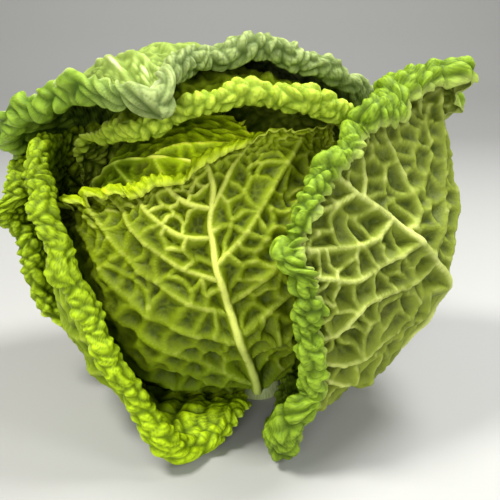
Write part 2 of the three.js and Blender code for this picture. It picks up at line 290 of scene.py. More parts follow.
def along(line, step=0.012):
    """Points spaced evenly along a line, with each point's share of the way."""
    p = rounded(line)
    d = np.concatenate([[0], np.cumsum(np.linalg.norm(np.diff(p, axis=0), axis=1))])
    t = np.linspace(0, 1, max(4, int(d[-1] / step)))
    return np.stack([np.interp(t * d[-1], d, p[:, 0]), np.interp(t * d[-1], d, p[:, 1])], 1), t


def fan(count, side, seed):
    """Side veins for a leaf whose own aren't given: they leave the midrib and sweep up to the margin."""
    rng = np.random.default_rng(seed)
    lines = []
    for k in range(count):
        y = -0.72 + 1.45 * (k + 0.3 * rng.uniform(-1, 1)) / (count - 1) * 0.95
        rise = 0.30 - 0.1 * y
        reach = math.sqrt(max(0.05, 1 - (y + rise) ** 2)) if abs(y + rise) < 1 else 0.2
        lines.append([(0, y), (side * reach * 0.33, y + 0.22 * rise),
                      (side * reach * 0.66, y + 0.55 * rise), (side * reach, y + rise)])
    return lines


def vein_lines(spec):
    """The midrib and the side veins at its left and its right."""
    left = spec.get("left") or fan(spec["fan"], -1, spec["seed"])
    right = spec.get("right") or fan(spec["fan"], 1, spec["seed"] + 50)
    return spec["rib_line"], left, right


def taper(t, foot, loss, power):
    """A vein's width or height at each share of its way."""
    return foot - loss * t ** power


def strips(flat, spec):
    """Which gap between side veins each point lies in. Gaps right of the midrib count up from 100."""
    rib, left, right = vein_lines(spec)
    r = rounded(rib)
    on_right = flat[:, 0] > np.interp(flat[:, 1], r[:, 1], r[:, 0])
    out = np.where(on_right, 100, 0)
    for lines, mask, sign in ((left, ~on_right, -1), (right, on_right, 1)):
        for line in lines:
            p = rounded(line) * [sign, 1]
            height = np.interp(flat[:, 0] * sign, p[:, 0], p[:, 1])
            out = out + (mask & (flat[:, 1] > height))
    return out


def nearest(points, marks, widths, chunk=6000):
    """For each point, the mark nearest to it in widths, and how far that is in millimetres."""
    pick, far = np.empty(len(points), int), np.empty(len(points))
    m2 = (marks ** 2).sum(1)
    for a in range(0, len(points), chunk):
        p = points[a:a + chunk]
        d2 = np.maximum((p ** 2).sum(1)[:, None] + m2 - 2 * p @ marks.T, 0)
        k = (d2 / widths ** 2).argmin(1)
        pick[a:a + chunk] = k
        far[a:a + chunk] = np.sqrt(d2[np.arange(len(p)), k])
    return pick, far


def scatter(points, spacing, rng, tries):
    """Points picked at random that keep their spacing from each other."""
    order = rng.permutation(len(points))[:tries]
    kept = np.empty((len(order), 3))
    picked = []
    for k in order:
        n = len(picked)
        d = kept[:n] - points[k]
        if n == 0 or np.einsum("ij,ij->i", d, d).min() > spacing[k] ** 2:
            kept[n] = points[k]
            picked.append(k)
    return np.array(picked)


def cells(points, strip, seeds, away, size, chunk=5000):
    """Each point's cell, and how far it is from that cell's border with and without its corners rounded off."""
    apart_strips = 1e6  # keeps a point from a seed across a vein
    s, own_strip = points[seeds], strip[seeds]
    s2 = (s ** 2).sum(1)
    apart = np.sqrt(np.maximum(s2[:, None] + s2 - 2 * s @ s.T, 0)) + 1e-6
    own, gap, border = np.empty(len(points), int), np.empty(len(points)), np.empty(len(points))
    for a in range(0, len(points), chunk):
        p = points[a:a + chunk]
        across = strip[a:a + chunk, None] != own_strip
        d2 = (p ** 2).sum(1)[:, None] + s2 - 2 * p @ s.T + apart_strips * across
        rows = np.arange(len(p))
        k = d2.argmin(1)
        g = (d2 - d2[rows, k][:, None]) / (2 * apart[k])
        g[rows, k] = away[a:a + chunk]
        own[a:a + chunk] = k
        border[a:a + chunk] = least = g.min(1)
        blend = 0.06 * size[a:a + chunk]
        nearly = np.exp(-np.minimum((g - least[:, None]) / blend[:, None], 30))
        gap[a:a + chunk] = least - blend * np.log(nearly.sum(1))
    return own, np.maximum(gap, 0), border


def small_cells(points, seeds):
    """The same for many small cells, by way of the four nearest seeds."""
    tree = KDTree(len(seeds))
    s = points[seeds]
    for k, p in enumerate(s):
        tree.insert(p, k)
    tree.balance()
    own, gap = np.empty(len(points), int), np.empty(len(points))
    for i, p in enumerate(points):
        found = tree.find_n(p, 4)
        a, da = found[0][1], found[0][2]
        own[i] = a
        gap[i] = min((d * d - da * da) / (2 * math.dist(s[a], s[b]) + 1e-6) for _, b, d in found[1:])
    return own, gap


def dome(share):
    """A bubble's height from its border, at share 0, to its middle, at 1."""
    return np.clip(1 - (1 - share) ** 2, 0, 1) ** 0.62 * (0.8 + 0.2 * ease(0, 0.7, share))


def share_of_cell(own, gap, count):
    """How far each point is from its cell's border to its middle, from 0 to 1."""
    top = np.full(count, 0.4)
    np.maximum.at(top, own, gap)
    return np.clip(gap / top[own], 0, 1)


def grid_normals(points, side):
    """Which way each point of a leaf's net faces."""
    p = points.reshape(side, side, 3)
    return unit(np.cross(np.gradient(p, axis=0).reshape(-1, 3), np.gradient(p, axis=1).reshape(-1, 3)))


def net(index):
    """The quads of a net of points, and the loop of points round it."""
    quads = np.stack([index[:-1, :-1], index[1:, :-1], index[1:, 1:], index[:-1, 1:]], -1).reshape(-1, 4)
    return quads, np.concatenate([index[:-1, 0], index[-1, :-1], index[:0:-1, -1], index[0, :0:-1]])


def stitch(side, plain_inside):
    """The faces of a closed leaf, and which points of its net the inner face keeps."""
    index = np.arange(side * side).reshape(side, side)
    quads, loop = net(index)
    if plain_inside:
        keep = index[::2, ::2]
        inner_quads, start = net(np.arange(keep.size).reshape(keep.shape) + side * side)
        first, mid, last, end = loop[::2], loop[1::2], np.roll(loop[::2], -1), np.roll(start, -1)
        corners = (mid, first, start), (mid, start, end), (last, mid, end)
        rims = np.concatenate([np.stack(three, 1) for three in corners])
    else:
        keep = index
        inner_quads, start = quads + side * side, loop + side * side
        rims = np.stack([np.roll(loop, -1), loop, start, np.roll(start, -1)], 1)
    return quads.tolist() + inner_quads[:, ::-1].tolist() + rims.tolist(), keep.ravel()


def soften(values, side, times):
    """Values on the leaf's net, each eased towards its neighbours."""
    v = values.reshape(side, side)
    for _ in range(times):
        p = np.pad(v, 1, mode="edge")
        v = (p[:-2, 1:-1] + 2 * v + p[2:, 1:-1]) / 4
        p = np.pad(v, 1, mode="edge")
        v = (p[1:-1, :-2] + 2 * v + p[1:-1, 2:]) / 4
    return v.ravel()


class Leaf:
    """One leaf as it grows, in mm about the head's middle. Most of its values have a row for each net point."""

    pit_tries, pucker_tries = 9000, 26000  # net points tried as the middle of a pit, and of a pucker
    pucker_share = 0.42  # a pucker's width as a share of its pit's

    def __init__(self, name, sizes):
        self.spec = {**USUAL, **LEAVES[name]}
        self.sizes = sizes
        self.sheet = Sheet(self.spec)
        self.rng = np.random.default_rng(self.spec["seed"])
        self.lay_net()
        self.roll_margin()
        self.find_veins()
        self.find_pits()
        self.find_puckers()

    def ripple(self, points, wave, draw):
        return ripple(points, wave, self.spec["seed"] + draw)

    def round_margin(self, values):
        return around(values, self.theta)

    def lay_net(self):
        """Bend a square net onto the flat round leaf: rho runs to its margin, and then u across the roll."""
        rings = self.spec["rings"]
        rim = max(2, int(rings * self.spec["rim"]))
        inner = rings - rim
        steps = np.arange(-rings, rings + 1.0)
        a, b = (grid.ravel() for grid in np.meshgrid(steps, steps, indexing="ij"))
        ring = np.maximum(abs(a), abs(b))
        wide = abs(a) >= abs(b)
        angle = np.where(wide, math.pi / 4 * b / np.where(a == 0, 1, a),
                         math.pi / 2 - math.pi / 4 * a / np.where(b == 0, 1, b))
        way = np.stack([np.cos(angle), np.sin(angle)], 1) * np.where(wide, np.sign(a), np.sign(b))[:, None]
        self.side = len(steps)
        self.rho, self.u = np.minimum(ring / inner, 1), np.clip((ring - inner) / rim, 0, 1)
        self.theta = np.arctan2(way[:, 1], way[:, 0])
        self.way = way * (1 - self.round_margin(self.spec["inset"]))[:, None]
        self.flat = self.way * self.rho[:, None] + np.array(self.spec["fine_side"]) * (1 - self.rho)[:, None]

    def roll_margin(self):
        """Lay the net on the sheet, roll its margin outwards, and let it wander and swell."""
        spec, rho, u = self.spec, self.rho, self.u
        edge, edge_normal = self.sheet.at(self.way), self.sheet.normal(self.way * 0.999)
        edge_out = unit(edge - self.sheet.at(self.way * 0.985))
        radius = self.round_margin(spec["roll"]) * (1 + 0.2 * self.ripple(edge, wave=21, draw=1))
        turn = np.radians(self.round_margin(spec["turn"])) * (1 + 0.10 * self.ripple(edge, wave=40, draw=2))
        # where there's no roll, those rings carry the leaf on by 1.5 mm
        bare = np.where(turn > 0.02, 0, 1.5) * u
        s = turn * u
        laid = self.sheet.at(self.flat)
        self.turn = turn
        self.unrolled = laid + edge_out * (radius * s * 0.95 + bare)[:, None]
        points = laid + (edge_out.T * (radius * np.sin(s) + bare) + edge_normal.T * radius * (1 - np.cos(s))).T

        # the margin wanders, most at the edge itself and where it is rolled
        turned = np.array(spec["turn"])
        sway = spec["sway"] * ease(0.72, 1, rho) * self.round_margin(np.minimum(turned / 150, 1))
        points = points + (edge_normal.T * (sway * 2.6 * self.ripple(edge, wave=32, draw=3))
                           + edge_out.T * (sway * 2.0 * self.ripple(edge, wave=30, draw=4))).T
        ruffle = self.round_margin(spec["ruffle"]) * ease(0.86, 1, rho)
        ruffle = ruffle * self.round_margin(np.minimum(turned / 100, 1))
        points = points + edge_normal * (ruffle * self.ripple(edge, wave=13, draw=5))[:, None]
        points = points + edge_out * (ruffle * 0.8 * self.ripple(edge, wave=17, draw=15))[:, None]
        swell = spec["pucker"] * (1 - ease(0.8, 1, rho)) * 1.5
        waves = self.ripple(points, wave=34, draw=6) + 0.5 * self.ripple(points, wave=17, draw=7)
        self.points = points + self.sheet.normal(self.flat * 0.999) * (swell * waves)[:, None]
        self.normal = grid_normals(self.points, self.side)

    def find_veins(self):
        """How much of a vein each point is, how high that vein stands there, and how far away it is."""
        spec = self.spec
        rib, left, right = vein_lines(spec)
        veins = [(rib, spec["stout"], MIDRIB)] + [(branch, 1, SIDE_VEIN) for branch in left + right]
        marks, widths, heights = [], [], []
        for line, stout, (width, height) in veins:
            places, t = along(line)
            marks.append(self.sheet.at(places))
            widths.append(spec["rib"] * stout * taper(t, *width))
            heights.append(spec["rib"] * taper(t, *height))
        marks, widths, heights = np.concatenate(marks), np.concatenate(widths), np.concatenate(heights)
        pick, far = nearest(self.unrolled, marks, widths)
        self.away = far - widths[pick] * 0.6
        self.vein = np.exp(-(far / widths[pick]) ** 2 * 1.2)
        self.vein_height = heights[pick]

    def find_pits(self):
        """Which pit between the veins each point lies in, how far in, and how deep."""
        spec, u, away, rng = self.spec, self.u, self.away, self.rng
        at_margin = self.round_margin(spec.get("margin_cells", [spec["cell"][1]] * PLACES))
        in_middle = spec["cell"][0] * (0.85 + 0.6 * ease(-0.2, 0.6, -self.flat[:, 1]))
        size = in_middle + (at_margin - in_middle) * ease(0.72, 1.0, self.rho + 0.04 * u)
        pool = np.flatnonzero(away > 0.3 * size)
        spacing = size[pool] * (0.62 + 0.4 * rng.random(len(pool)))
        seeds = pool[scatter(self.unrolled[pool], spacing, rng, self.pit_tries)]
        wavy = drift(drift(self.unrolled, 14, spec["seed"] + 30, 1.8), 6, spec["seed"] + 40, 0.45)
        own, gap, self.border = cells(wavy, strips(self.flat, spec), seeds, np.maximum(away, 0), size)
        share = share_of_cell(own, gap, len(seeds))
        curl = ease(0.0, 0.35, u) * (self.turn > 2)
        self.pit = dome(share) * (0.25 + 0.75 * curl) + (0.75 - 0.75 * curl) * (1 - (1 - share) ** 2) ** 0.85
        deepest = np.minimum(size, 7 + 0.3 * size) * spec["depth"]
        self.deep = deepest * (0.75 + 0.5 * rng.random(len(seeds)))[own]
        self.pits, self.own, self.size, self.share, self.curl = len(seeds), own, size, share, curl

    def find_puckers(self):
        """The smaller puckers inside the pits, and how light or dark each pit and pucker is."""
        self.fine = self.size * self.pucker_share
        seeds = scatter(self.unrolled, self.fine * 0.85, self.rng, self.pucker_tries)
        own, self.pucker_gap = small_cells(self.unrolled, seeds)
        self.pucker_in = share_of_cell(own, self.pucker_gap, len(seeds))
        self.pucker = dome(self.pucker_in) * ease(0.1, 0.5, self.share) * (1 - 0.5 * self.curl)
        self.tint = self.rng.random(self.pits)[self.own] * 0.6 + self.rng.random(len(seeds))[own] * 0.4

    def both_faces(self):
        """The points of the outer face and of the under face."""
        spec, sizes, vein = self.spec, self.sizes, self.vein
        blade = 1 - ease(0, 0.3, self.u)
        sag = spec["sag"] * (1 - np.exp(-np.maximum(self.away, 0) / 4.5)) * blade
        depth = self.deep * self.pit * (1 - 0.38 * blade) + 0.18 * self.fine * self.pucker
        depth = depth * sizes.bubble_height + sag
        depth = soften(depth * (1 - 0.5 * ease(0.6, 1.0, vein)), self.side, 1)
        middle = self.points - self.normal * depth[:, None]
        out = unit(self.normal + 0.6 * grid_normals(middle, self.side))
        between_pits = 0.4 * np.exp(-(self.border / 0.6) ** 2) * (1 - vein)
        between_puckers = 0.22 * np.exp(-(self.pucker_gap / 0.5) ** 2) * ease(0.1, 0.4, self.share)
        small_ribs = between_pits + between_puckers * (1 - self.curl)
        ribs = soften(vein * self.vein_height * sizes.vein_height + small_ribs, self.side, 1)
        half = sizes.leaf_thickness * MM / 2 * (1 - 0.35 * ease(0.5, 1, self.u))
        faces = middle + out * (half + ribs + spec["lift"])[:, None], middle - out * (half - spec["lift"])[:, None]
        if "hang" in spec:
            start, end, fall = spec["hang"]
            for face in faces:
                face[:, 2] -= fall * ease(-start, -end, -face[:, 0]) * ease(0, 70, face[:, 2])
        return faces

    def paint(self, keep):
        """What the leaf's paint needs at each vertex."""
        lines = np.maximum.reduce([
            self.vein ** 1.2 * np.clip(self.vein_height / 1.2, 0.7, 1),
            self.spec["line"] * np.exp(-(self.border / 0.5) ** 2),
            0.22 * np.exp(-(self.pucker_gap / 0.4) ** 2),
        ])
        values = {
            "vein": soften(lines, self.side, 1),
            # pit and crease also set where the leaf's colour darkens with painted shade, in the pits and between
            # the bubbles
            "pit": self.pit * (0.7 + 0.3 * self.pucker),
            "crease": np.maximum(1 - self.share * 1.6, 0.7 * (1 - self.pucker_in * 2)).clip(0, 1),
            "margin": ease(0.55, 1, self.rho) * 0.7 + 0.3 * self.u,
            "brink": ease(0.8, 1, self.u),
            "tint": self.tint,
        }
        values = {key: np.concatenate([v, v[keep]]) for key, v in values.items()}
        values["inner_face"] = np.repeat([0.0, 1.0], [self.side ** 2, len(keep)])
        return values

    def grow(self):
        """Vertices, faces, and what the paint needs at each vertex."""
        outer, under = self.both_faces()
        faces, keep = stitch(self.side, self.spec["plain_inside"])
        return np.concatenate([outer, under[keep]]), faces, self.paint(keep)


def make_piece(name, points, faces, paint):
    """A smooth mesh in the scene, from points in metres, with the values that its paint reads."""
    mesh = bpy.data.meshes.new(name)
    mesh.from_pydata(points, [], faces)
    for key, values in paint.items():
        mesh.attributes.new(key, "FLOAT", "POINT").data.foreach_set("value", np.asarray(values, np.float32))
    mesh.polygons.foreach_set("use_smooth", np.ones(len(mesh.polygons), bool))
    mesh.update()
    piece = bpy.data.objects.new(name, mesh)
    bpy.context.scene.collection.objects.link(piece)
    return piece


def from_middle(points):
    """Points in mm about the head's middle, in metres in the frame."""
    return ((points + head_centre()) / MM).tolist()


def head_centre():
    """The middle of the head in mm."""
    low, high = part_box("heart")
    return np.array((low + high) / 2) * MM


# ------------------------------------------------------------------ shader maths
class Wire:
    """One socket in a material's node tree, so that shader maths is written as Python."""

    def __init__(self, paint, socket):
        self.paint, self.socket = paint, socket

    def _join(self, other, operation, swap=False):
        a, b = (other, self) if swap else (self, other)
        if any(isinstance(x, Wire) and x.socket.type in ("RGBA", "VECTOR") for x in (a, b)):
            return self.paint.mix(1.0, a, b, blend=operation)
        return self.paint.node("ShaderNodeMath", {"operation": operation}, {0: a, 1: b})

    def __add__(self, other): return self._join(other, "ADD")
    def __radd__(self, other): return self._join(other, "ADD", True)
    def __sub__(self, other): return self._join(other, "SUBTRACT")
    def __rsub__(self, other): return self._join(other, "SUBTRACT", True)
    def __mul__(self, other): return self._join(other, "MULTIPLY")
    def __rmul__(self, other): return self._join(other, "MULTIPLY", True)

    def clamp(self):
        return self.paint.node("ShaderNodeClamp", {}, {"Value": self, "Min": 0.0, "Max": 1.0})

    def ease(self, low, high):
        return self.paint.node("ShaderNodeMapRange", {"interpolation_type": "SMOOTHSTEP"},
                               {"Value": self, "From Min": low, "From Max": high})


def four(colour):
    """A colour, or a number as a grey, with its alpha. A wire stays as it is."""
    if isinstance(colour, (int, float)):
        return (colour, colour, colour, 1.0)
    return (*colour, 1.0) if isinstance(colour, tuple) else colour


class Paint:
    """A material and the nodes in it."""

    def __init__(self, name):
        self.material = bpy.data.materials.new(name)
        self.material.use_nodes = True
        self.tree = self.material.node_tree
        self.tree.nodes.clear()

    def node(self, kind, settings, sockets, out=0):
        n = self.tree.nodes.new(kind)
        for key, value in settings.items():
            setattr(n, key, value)
        for key, value in sockets.items():
            if isinstance(value, Wire):
                self.tree.links.new(value.socket, n.inputs[key])
            else:
                n.inputs[key].default_value = value
        return Wire(self, n.outputs[out]) if len(n.outputs) else None

    def mix(self, factor, a, b, blend="MIX"):
        # a Mix node's colour sockets are inputs 6 and 7 and output 2
        return self.node("ShaderNodeMix", {"data_type": "RGBA", "blend_type": blend},
                         {"Factor": factor, 6: four(a), 7: four(b)}, out=2)

    def value(self, key):
        return self.node("ShaderNodeAttribute", {"attribute_name": key}, {}, out="Fac")

    def place(self):
        return self.node("ShaderNodeTexCoord", {}, {}, out="Object")

    def along(self, axis):
        return self.node("ShaderNodeSeparateXYZ", {}, {0: self.place()}, out=axis)

    def noise(self, scale, detail=3.0):
        return self.node("ShaderNodeTexNoise", {},
                         {"Vector": self.place(), "Scale": scale, "Detail": detail, "Roughness": 0.55})

    def crackle(self, scale):
        return self.node("ShaderNodeTexVoronoi", {"feature": "DISTANCE_TO_EDGE"},
                         {"Vector": self.place(), "Scale": scale})

    def bump(self, height, distance):
        return self.node("ShaderNodeBump", {}, {"Height": height, "Distance": distance, "Strength": 0.6})

    def finish(self, sockets):
        shader = self.node("ShaderNodeBsdfPrincipled", {"subsurface_method": "RANDOM_WALK"}, sockets)
        self.node("ShaderNodeOutputMaterial", {}, {"Surface": shader})
        return self.material


def leaf_paint(name, colours, glow, light_and_tones=()):
    """A leaf's skin: veins and pits outside, bubbles and creases inside, then stains, margin and colour along an
    axis. The pits are darkened with the leaf's deeper green and painted shade, the creases with painted shade, and
    the colour along an axis is painted light or shade on three leaves and a yellower hue on the rear hood.
    """
    p = Paint(name)
    vein, pit, crease, tint = p.value("vein"), p.value("pit"), p.value("crease"), p.value("tint")
    margin, inner_face, brink = p.value("margin"), p.value("inner_face"), p.value("brink")
    patches = p.noise(38.0)
    specks = p.noise(420.0, 2.0)
    # the outer face darkens from the blade colour to the pit colour at the pit bottoms: the leaf's deeper green
    # there, and painted shade
    blade = p.mix((pit * 0.9 + patches * 0.4 - 0.2).clamp(), tuple(colours.high), tuple(colours.low))
    outside = p.mix((vein.ease(0.22, 0.75) * 0.9).clamp(), blade, tuple(colours.vein))
    stain = p.noise(26.0, 4.0).ease(0.58, 0.78) * pit * (1.0 - vein)
    outside = p.mix((stain * 0.3).clamp(), outside, shade(112, 88, 58))
    # painted shade: the inner face darkens from the bubble colour to the crease colour between its bubbles
    inside = p.mix((crease * 0.95 + patches * 0.3 - 0.12).clamp(), tuple(colours.bubble), tuple(colours.crease))
    colour = p.mix(inner_face.ease(0.3, 0.7), outside, inside)
    colour = p.mix((margin.ease(0.5, 1.0) * colours.margin_share).clamp(), colour, tuple(colours.margin))
    # colour multiplied along an axis: painted light and painted shade on the left head leaf, the front head leaf
    # and the left side leaf, a yellower hue on the rear hood's inner face
    for axis, start, end, tone, inner_only in light_and_tones:
        share = (p.along(axis) * (1 / (end - start)) - start / (end - start)).clamp()
        colour = p.mix(share * inner_face if inner_only else share, colour, colour * tone)
    colour = p.mix(brink * 0.35, colour, tuple(colours.vein))
    colour = colour * (0.80 + tint * 0.24 + specks * 0.12)
    rough = (0.42 + specks * 0.16 + crease * 0.1).clamp()
    grain = p.crackle(620.0) * 1.6 + p.noise(1500.0, 2.0) * 0.35 + vein.ease(0.2, 0.8) * 1.8
    return p.finish({
        "Base Color": colour,
        "Roughness": rough,
        "Subsurface Weight": glow,
        "Subsurface Radius": (0.9, 1.0, 0.22),
        "Subsurface Scale": 0.0008,
        "Specular IOR Level": 0.16,
        "Normal": p.bump(grain, 0.00035),
    })


# ------------------------------------------------------------------ settings
def shade(red, green, blue):
    """An sRGB colour of 0 to 255 as linear light."""
    return tuple(c / 3294.6 if c <= 10.31 else ((c / 255 + 0.055) / 1.055) ** 2.4 for c in (red, green, blue))


def colour_property(name, description, rgb):
    """A colour that a user can change, given in sRGB of 0 to 255."""
    return bpy.props.FloatVectorProperty(
        name=name, description=description, subtype="COLOR", size=3, min=0, max=1, default=shade(*rgb))


def share_property(name, description, default, most):
    """A share that a user can change."""
    return bpy.props.FloatProperty(
        name=name, description=description, default=default, min=0, max=most, subtype="FACTOR")


def length_property(name, description, default, least, most):
    """A length in metres that a user can change."""
    return bpy.props.FloatProperty(
        name=name, description=description, default=default, min=least, max=most,
        unit="LENGTH", subtype="DISTANCE")


def group_property(name, group):
    """A group of settings, described by its docstring."""
    return bpy.props.PointerProperty(type=group, name=name, description=group.__doc__)


def leaf_colours(vein, high, low, bubble, crease, margin, share):
    """What a leaf's paint can be told."""
    return {
        "vein": colour_property("Veins", "Raised veins on the outer face", vein),
        "high": colour_property("Blade", "Outer face between the veins", high),
        # the pit colour is the leaf's deeper green, darkened further as painted shade at the pit bottoms
        "low": colour_property("Pits", "Outer face at the bottom of its pits", low),
        "bubble": colour_property("Bubbles", "Inner face on top of its bubbles", bubble),
        # painted shade: the crease colour darkens the inner face between its bubbles
        "crease": colour_property("Creases", "Inner face between its bubbles", crease),
        "margin": colour_property("Margin", "Towards the leaf's margin", margin),
        "margin_share": share_property("Margin share", "How far the margin takes its own colour", share, 1),
    }


# in each group below, low is the pits' deeper green with painted shade, and crease is painted shade between the
# bubbles
class CabbageHeadColours(bpy.types.PropertyGroup):
    """Colours of the leaves closed round the head."""
    __annotations__ = leaf_colours(
        vein=(218, 224, 108), high=(136, 154, 16), low=(44, 58, 4),
        bubble=(204, 226, 22), crease=(110, 134, 0), margin=(184, 206, 12), share=0.4)


class CabbageHoodColours(bpy.types.PropertyGroup):
    """Colours of the front hood leaf."""
    __annotations__ = leaf_colours(
        vein=(212, 222, 124), high=(150, 170, 30), low=(84, 104, 0),
        bubble=(188, 210, 66), crease=(84, 114, 0), margin=(190, 212, 60), share=0.25)


class CabbageLeftColours(bpy.types.PropertyGroup):
    """Colours of the two left leaves."""
    __annotations__ = leaf_colours(
        vein=(204, 216, 106), high=(130, 152, 30), low=(66, 86, 2),
        bubble=(172, 200, 28), crease=(52, 74, 0), margin=(176, 208, 26), share=0.2)


class CabbageRearColours(bpy.types.PropertyGroup):
    """Colours of the rear hood leaf."""
    __annotations__ = leaf_colours(
        vein=(232, 240, 178), high=(150, 172, 78), low=(80, 102, 26),
        bubble=(166, 182, 112), crease=(50, 76, 18), margin=(170, 188, 104), share=0.15)


class CabbageRightColours(bpy.types.PropertyGroup):
    """Colours of the right side leaf."""
    __annotations__ = leaf_colours(
        vein=(222, 230, 136), high=(142, 156, 52), low=(48, 62, 10),
        bubble=(146, 178, 44), crease=(44, 70, 0), margin=(156, 188, 44), share=0.15)


class CabbageSizes(bpy.types.PropertyGroup):
    """Sizes of the leaves, the stalk and the view."""
    leaf_thickness: length_property(
        "Leaf thickness", "Thickness of a leaf between its veins", 0.0009, 0.0004, 0.003)
    vein_height: share_property("Vein height", "Height of the veins, as a share of the usual", 1.0, 2)
    bubble_height: share_property("Bubble height", "Height of the bubbles, as a share of the usual", 1.0, 2)
    stalk_foot: length_property("Stalk foot", "Radius of the stalk at its cut", 0.013, 0.005, 0.03)
    lens: bpy.props.FloatProperty(
        name="Lens", description="Camera lens", default=55.0, min=20, max=120, unit="CAMERA")
    distance: length_property("Camera distance", "Camera to its aim", 0.4278, 0.2, 3)
    elevation: bpy.props.FloatProperty(
        name="Camera elevation", description="Camera above the horizon", default=math.radians(18),
        min=-1.5, max=1.5, unit="ROTATION", subtype="ANGLE")


class CabbageSettings(bpy.types.PropertyGroup):
    """Everything about the cabbage that can be changed."""
    sizes: group_property("Sizes", CabbageSizes)
    head: group_property("Head", CabbageHeadColours)
    hood: group_property("Hood", CabbageHoodColours)
    left: group_property("Left", CabbageLeftColours)
    rear: group_property("Rear", CabbageRearColours)
    right: group_property("Right", CabbageRightColours)
    backdrop: colour_property("Backdrop", "The floor and what stands behind", (176, 176, 173))


def build_leaf(context, name, colours):
    """Grow one leaf, lay down what comes near the floor, and paint it."""
    near = 4  # mm above the floor
    leaf = Leaf(name, context.scene.cabbage.sizes)
    points, faces, paint = leaf.grow()
    height = points[:, 2] + head_centre()[2]
    points[:, 2] += np.where(height < near, near * np.exp((np.minimum(height, near) - near) / near) - height, 0)
    piece = make_piece("savoy_" + name, from_middle(points), faces, paint)
    piece.data.materials.append(leaf_paint(name, colours, leaf.spec["glow"], leaf.spec["light_and_tones"]))
    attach(piece, "root")
    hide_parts(name)
    return piece


# ------------------------------------------------------------------ operators
class CABBAGE_OT_head_leaves(bpy.types.Operator):
    """Grow the three leaves closed round the head"""
    bl_idname = "cabbage.head_leaves"
    bl_label = "Head leaves"

    def execute(self, context):
        for name in ("right_head_leaf", "left_head_leaf", "front_head_leaf"):
            build_leaf(context, name, context.scene.cabbage.head)
        return {"FINISHED"}


class CABBAGE_OT_hood_leaves(bpy.types.Operator):
    """Grow the front and rear hood leaves over the head"""
    bl_idname = "cabbage.hood_leaves"
    bl_label = "Hood leaves"

    def execute(self, context):
        build_leaf(context, "front_hood_leaf", context.scene.cabbage.hood)
        build_leaf(context, "rear_hood_leaf", context.scene.cabbage.rear)
        return {"FINISHED"}


class CABBAGE_OT_side_leaves(bpy.types.Operator):
    """Grow the open leaves at the left and the right"""
    bl_idname = "cabbage.side_leaves"
    bl_label = "Side leaves"

    def execute(self, context):
        build_leaf(context, "left_side_leaf", context.scene.cabbage.left)
        build_leaf(context, "left_back_leaf", context.scene.cabbage.left)
        build_leaf(context, "right_side_leaf", context.scene.cabbage.right)
        return {"FINISHED"}


